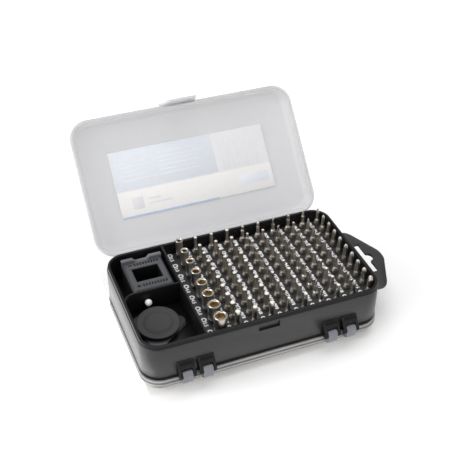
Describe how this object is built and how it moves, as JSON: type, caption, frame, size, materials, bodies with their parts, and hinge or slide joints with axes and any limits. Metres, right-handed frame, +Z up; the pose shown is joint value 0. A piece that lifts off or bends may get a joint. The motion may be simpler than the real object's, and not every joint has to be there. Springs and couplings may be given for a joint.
{
  "type": "precision screwdriver set",
  "caption": "Two-sided case of precision driver bits and nut sockets with magnetizer, suction cup, picks, driver and repair tools under hinged clear lids.",
  "frame": {"origin": "centre of the closed case footprint, on the underside of the bottom lid", "axes": "+X along the long side towards the hanging tab, +Y towards the top lid hinge, +Z up"},
  "size_m": [0.2037, 0.1911, 0.1199],
  "materials": {
    "black_plastic": "fine satin moulding",
    "frosted_plastic": "frosted translucent polypropylene",
    "tool_steel": "nickel-plated, lightly satin",
    "bright_steel": "bright plated steel",
    "label_card": "printed card",
    "grey_plastic": "satin moulding",
    "magnet_steel": "sintered, plain",
    "grey_rubber": "matte",
    "slate_plastic": "satin moulding",
    "white_plastic": "gloss"
  },
  "bodies": {
    "case": {"case_body": "black_plastic", "bit_deck": "black_plastic", "front_hinge_pin_left": "black_plastic", "front_hinge_pin_right": "black_plastic", "back_hinge_pin_left": "black_plastic", "back_hinge_pin_right": "black_plastic", "bit_column_1": "tool_steel", "bit_column_2": "tool_steel", "bit_column_3": "tool_steel", "bit_column_4": "tool_steel", "bit_column_5": "tool_steel", "bit_column_6": "tool_steel", "bit_column_7": "tool_steel", "bit_column_8": "tool_steel", "driver_grip": "black_plastic", "driver_collar": "bright_steel", "driver_magnet": "magnet_steel", "flex_shaft_sheath": "black_plastic", "extension_bar": "bright_steel", "spudger_flat": "black_plastic", "spudger_pointed": "black_plastic", "spudger_steel": "bright_steel"},
    "top_lid": {"top_lid": "frosted_plastic", "label_card": "label_card"},
    "bottom_lid": {"bottom_lid": "frosted_plastic"},
    "magnetizer": {"magnetizer_case": "grey_plastic", "magnetizer_magnet_front": "magnet_steel", "magnetizer_magnet_back": "magnet_steel"},
    "opening_pick_lower": {"opening_pick_lower": "slate_plastic"},
    "opening_pick_upper": {"opening_pick_upper": "slate_plastic"},
    "suction_cup": {"suction_cup": "grey_rubber"},
    "eject_pin": {"eject_pin_shank": "bright_steel", "eject_pin_ball": "white_plastic"},
    "driver_end_cap": {"driver_end_cap": "black_plastic"},
    "flex_core": {"flex_shaft_drive_end": "bright_steel", "flex_shaft_socket_end": "bright_steel"},
    "tweezers_front_arm": {"tweezers_front_arm": "bright_steel"},
    "tweezers_back_arm": {"tweezers_back_arm": "bright_steel"},
    "nut_socket_1": {"nut_socket_1": "tool_steel"},
    "nut_socket_2": {"nut_socket_2": "tool_steel"},
    "nut_socket_3": {"nut_socket_3": "tool_steel"},
    "nut_socket_4": {"nut_socket_4": "tool_steel"},
    "nut_socket_5": {"nut_socket_5": "tool_steel"},
    "nut_socket_6": {"nut_socket_6": "tool_steel"},
    "nut_socket_7": {"nut_socket_7": "tool_steel"},
    "nut_socket_8": {"nut_socket_8": "tool_steel"},
    "phillips_bit_1": {"phillips_bit_1": "tool_steel"},
    "phillips_bit_2": {"phillips_bit_2": "tool_steel"},
    "phillips_bit_3": {"phillips_bit_3": "tool_steel"},
    "phillips_bit_4": {"phillips_bit_4": "tool_steel"},
    "phillips_bit_5": {"phillips_bit_5": "tool_steel"},
    "phillips_bit_6": {"phillips_bit_6": "tool_steel"},
    "phillips_bit_7": {"phillips_bit_7": "tool_steel"},
    "phillips_bit_8": {"phillips_bit_8": "tool_steel"},
    "phillips_bit_9": {"phillips_bit_9": "tool_steel"},
    "phillips_bit_10": {"phillips_bit_10": "tool_steel"}
  },
  "joints": [
    {"name": "top_lid_hinge", "type": "hinge", "parent": "case", "child": "top_lid", "pos_m": [0, 0.0533, 0.0388], "axis": [-1, 0, 0], "range_deg": [-132.5, 0]},
    {"name": "bottom_lid_hinge", "type": "hinge", "parent": "case", "child": "bottom_lid", "pos_m": [0, -0.0554, 0.0177], "axis": [-1, 0, 0], "range_deg": [0, 132.5]},
    {"name": "magnetizer_lift", "type": "slide", "parent": "case", "child": "magnetizer", "axis": [0, 0, 1], "range_m": [0, 0.03]},
    {"name": "lower_pick_lift", "type": "slide", "parent": "case", "child": "opening_pick_lower", "axis": [0, 0, 1], "range_m": [0, 0.022]},
    {"name": "upper_pick_lift", "type": "slide", "parent": "opening_pick_lower", "child": "opening_pick_upper", "axis": [0, 0, 1], "range_m": [0, 0.022]},
    {"name": "suction_cup_lift", "type": "slide", "parent": "opening_pick_upper", "child": "suction_cup", "axis": [0, 0, 1], "range_m": [0, 0.022]},
    {"name": "eject_pin_lift", "type": "slide", "parent": "case", "child": "eject_pin", "axis": [0, 0, 1], "range_m": [0, 0.018]},
    {"name": "nut_socket_1_lift", "type": "slide", "parent": "case", "child": "nut_socket_1", "axis": [0, 0, 1], "range_m": [0, 0.028]},
    {"name": "nut_socket_2_lift", "type": "slide", "parent": "case", "child": "nut_socket_2", "axis": [0, 0, 1], "range_m": [0, 0.028]},
    {"name": "nut_socket_3_lift", "type": "slide", "parent": "case", "child": "nut_socket_3", "axis": [0, 0, 1], "range_m": [0, 0.028]},
    {"name": "nut_socket_4_lift", "type": "slide", "parent": "case", "child": "nut_socket_4", "axis": [0, 0, 1], "range_m": [0, 0.028]},
    {"name": "nut_socket_5_lift", "type": "slide", "parent": "case", "child": "nut_socket_5", "axis": [0, 0, 1], "range_m": [0, 0.028]},
    {"name": "nut_socket_6_lift", "type": "slide", "parent": "case", "child": "nut_socket_6", "axis": [0, 0, 1], "range_m": [0, 0.028]},
    {"name": "nut_socket_7_lift", "type": "slide", "parent": "case", "child": "nut_socket_7", "axis": [0, 0, 1], "range_m": [0, 0.028]},
    {"name": "nut_socket_8_lift", "type": "slide", "parent": "case", "child": "nut_socket_8", "axis": [0, 0, 1], "range_m": [0, 0.028]},
    {"name": "phillips_bit_1_lift", "type": "slide", "parent": "case", "child": "phillips_bit_1", "axis": [0, 0, 1], "range_m": [0, 0.028]},
    {"name": "phillips_bit_2_lift", "type": "slide", "parent": "case", "child": "phillips_bit_2", "axis": [0, 0, 1], "range_m": [0, 0.028]},
    {"name": "phillips_bit_3_lift", "type": "slide", "parent": "case", "child": "phillips_bit_3", "axis": [0, 0, 1], "range_m": [0, 0.028]},
    {"name": "phillips_bit_4_lift", "type": "slide", "parent": "case", "child": "phillips_bit_4", "axis": [0, 0, 1], "range_m": [0, 0.028]},
    {"name": "phillips_bit_5_lift", "type": "slide", "parent": "case", "child": "phillips_bit_5", "axis": [0, 0, 1], "range_m": [0, 0.028]},
    {"name": "phillips_bit_6_lift", "type": "slide", "parent": "case", "child": "phillips_bit_6", "axis": [0, 0, 1], "range_m": [0, 0.028]},
    {"name": "phillips_bit_7_lift", "type": "slide", "parent": "case", "child": "phillips_bit_7", "axis": [0, 0, 1], "range_m": [0, 0.028]},
    {"name": "phillips_bit_8_lift", "type": "slide", "parent": "case", "child": "phillips_bit_8", "axis": [0, 0, 1], "range_m": [0, 0.028]},
    {"name": "phillips_bit_9_lift", "type": "slide", "parent": "case", "child": "phillips_bit_9", "axis": [0, 0, 1], "range_m": [0, 0.028]},
    {"name": "phillips_bit_10_lift", "type": "slide", "parent": "case", "child": "phillips_bit_10", "axis": [0, 0, 1], "range_m": [0, 0.028]},
    {"name": "driver_cap_spin", "type": "hinge", "parent": "case", "child": "driver_end_cap", "pos_m": [-0.06, -0.033, 0.0115], "axis": [1, 0, 0], "continuous": true},
    {"name": "flex_core_spin", "type": "hinge", "parent": "case", "child": "flex_core", "pos_m": [-0.05, -0.0195, 0.015], "axis": [1, 0, 0], "continuous": true},
    {"name": "tweezers_front_squeeze", "type": "hinge", "parent": "case", "child": "tweezers_front_arm", "pos_m": [-0.054, 0.001, 0.015], "axis": [0, 0, 1], "range_deg": [0, 0.6], "stiffness_Nm_per_rad": 3},
    {"name": "tweezers_back_squeeze", "type": "hinge", "parent": "case", "child": "tweezers_back_arm", "pos_m": [-0.054, 0.001, 0.015], "axis": [0, 0, -1], "range_deg": [0, 0.6], "stiffness_Nm_per_rad": 3}
  ]
}
